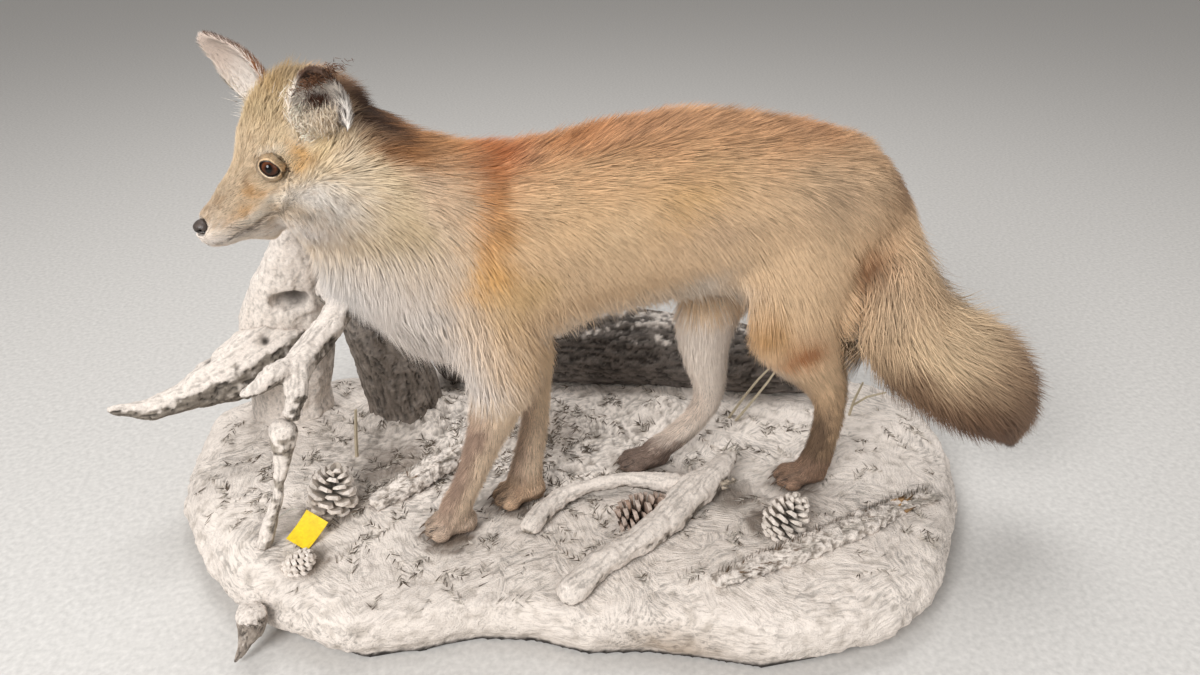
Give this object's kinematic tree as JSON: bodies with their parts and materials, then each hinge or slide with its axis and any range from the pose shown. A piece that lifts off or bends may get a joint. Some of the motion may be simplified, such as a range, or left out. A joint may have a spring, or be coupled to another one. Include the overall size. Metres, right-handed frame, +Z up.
{
  "type": "mounted fox",
  "caption": "Mounted red fox standing on a snow-covered habitat base with driftwood, fallen branches, pine cones and grass.",
  "frame": {"origin": "on the flat underside of the base, at floor level, below the middle of the fox's trunk", "axes": "+Z up, -X the way the fox's body faces, -Y to the fox's left"},
  "size_m": [0.9328, 0.5537, 0.5317],
  "materials": {
    "coat": "dense fur, cream and golden with a russet back",
    "coat_white": "long white and grey fur",
    "coat_legs": "short fur, golden above and grey brown below",
    "nose": "dark pebbled skin, slightly moist",
    "eyes": "polished amber brown glass eye",
    "snow": "matt plaster snow, rough and speckled",
    "driftwood": "weathered driftwood under a coat of plaster snow",
    "bark": "dark weathered bark with pale crusts",
    "cones": "dry pine cone scales with pale tips",
    "straw": "dry grass and twigs",
    "tag": "matt yellow card",
    "string": "white cotton string"
  },
  "bodies": {
    "root": {"head": "coat", "trunk": "coat", "tail_root": "coat", "tail_middle": "coat", "tail_tip": "coat", "neck": "coat_white", "ear_left": "coat_white", "ear_right": "coat_white", "foreleg_left": "coat_legs", "foreleg_right": "coat_legs", "hindleg_left": "coat_legs", "hindleg_right": "coat_legs", "forefoot_left": "coat_legs", "forefoot_right": "coat_legs", "hindfoot_left": "coat_legs", "hindfoot_right": "coat_legs", "nose_pad": "nose", "eye_left": "eyes", "eye_right": "eyes", "snow_base": "snow", "fir_sprig_right": "snow", "fir_sprig_left": "snow", "stump": "driftwood", "stump_arm_left": "driftwood", "stump_arm_front": "driftwood", "stump_prop": "driftwood", "stump_root_right": "driftwood", "root_foot": "driftwood", "fallen_branch": "driftwood", "fallen_branch_side": "driftwood", "log_back": "bark", "pine_cone_left": "cones", "pine_cone_right": "cones", "pine_cone_middle": "cones", "pine_cone_small": "cones", "grass_stem_1": "straw", "grass_stem_2": "straw", "twig_left": "straw", "twig_right": "straw", "tag": "tag", "tag_string": "string"}
  },
  "joints": []
}
